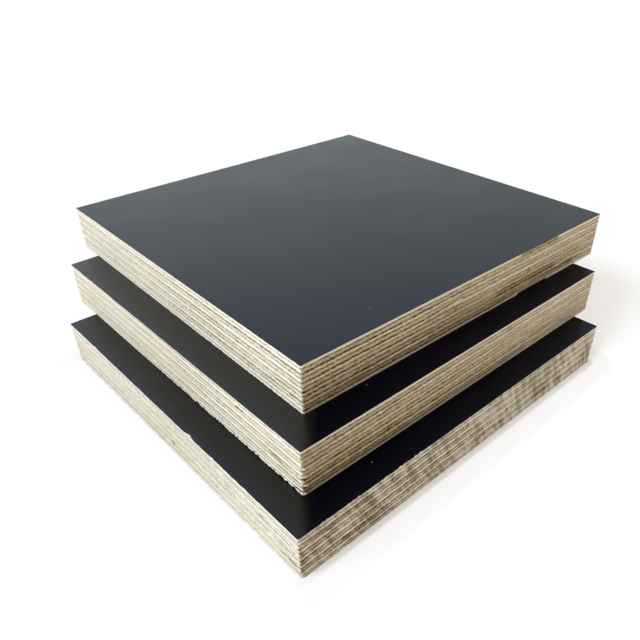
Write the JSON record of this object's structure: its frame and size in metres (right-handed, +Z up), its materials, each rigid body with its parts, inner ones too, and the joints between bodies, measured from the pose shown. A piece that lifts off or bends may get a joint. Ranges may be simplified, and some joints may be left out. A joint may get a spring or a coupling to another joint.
{
  "type": "stack of film-faced plywood sheets",
  "caption": "Staggered stack of square film-faced plywood offcuts, with cross-laid veneers showing on the sawn edges and dark satin film on the broad sides.",
  "frame": {"origin": "centre of the bottom sheet's underside, on the floor", "axes": "+Z up through the sheets; +X along the face grain of the two upper sheets and across that of the bottom one; the sheets step back towards +X and +Y as they rise"},
  "size_m": [0.1816, 0.1778, 0.054],
  "materials": {
    "film": "satin",
    "face_veneer": "sawn",
    "crossband": "sawn",
    "longband": "sawn"
  },
  "bodies": {
    "root": {"bottom_sheet_lower_film": "film", "bottom_sheet_back_veneer": "face_veneer", "bottom_sheet_crossband_1": "crossband", "bottom_sheet_longband_1": "longband", "bottom_sheet_crossband_2": "crossband", "bottom_sheet_longband_2": "longband", "bottom_sheet_crossband_3": "crossband", "bottom_sheet_longband_3": "longband", "bottom_sheet_crossband_4": "crossband", "bottom_sheet_longband_4": "longband", "bottom_sheet_crossband_5": "crossband", "bottom_sheet_face_veneer": "face_veneer", "bottom_sheet_upper_film": "film", "middle_sheet_lower_film": "film", "middle_sheet_back_veneer": "face_veneer", "middle_sheet_crossband_1": "crossband", "middle_sheet_longband_1": "longband", "middle_sheet_crossband_2": "crossband", "middle_sheet_longband_2": "longband", "middle_sheet_crossband_3": "crossband", "middle_sheet_longband_3": "longband", "middle_sheet_crossband_4": "crossband", "middle_sheet_longband_4": "longband", "middle_sheet_crossband_5": "crossband", "middle_sheet_face_veneer": "face_veneer", "middle_sheet_upper_film": "film", "top_sheet_lower_film": "film", "top_sheet_back_veneer": "face_veneer", "top_sheet_crossband_1": "crossband", "top_sheet_longband_1": "longband", "top_sheet_crossband_2": "crossband", "top_sheet_longband_2": "longband", "top_sheet_crossband_3": "crossband", "top_sheet_longband_3": "longband", "top_sheet_crossband_4": "crossband", "top_sheet_longband_4": "longband", "top_sheet_crossband_5": "crossband", "top_sheet_face_veneer": "face_veneer", "top_sheet_upper_film": "film"}
  },
  "joints": []
}
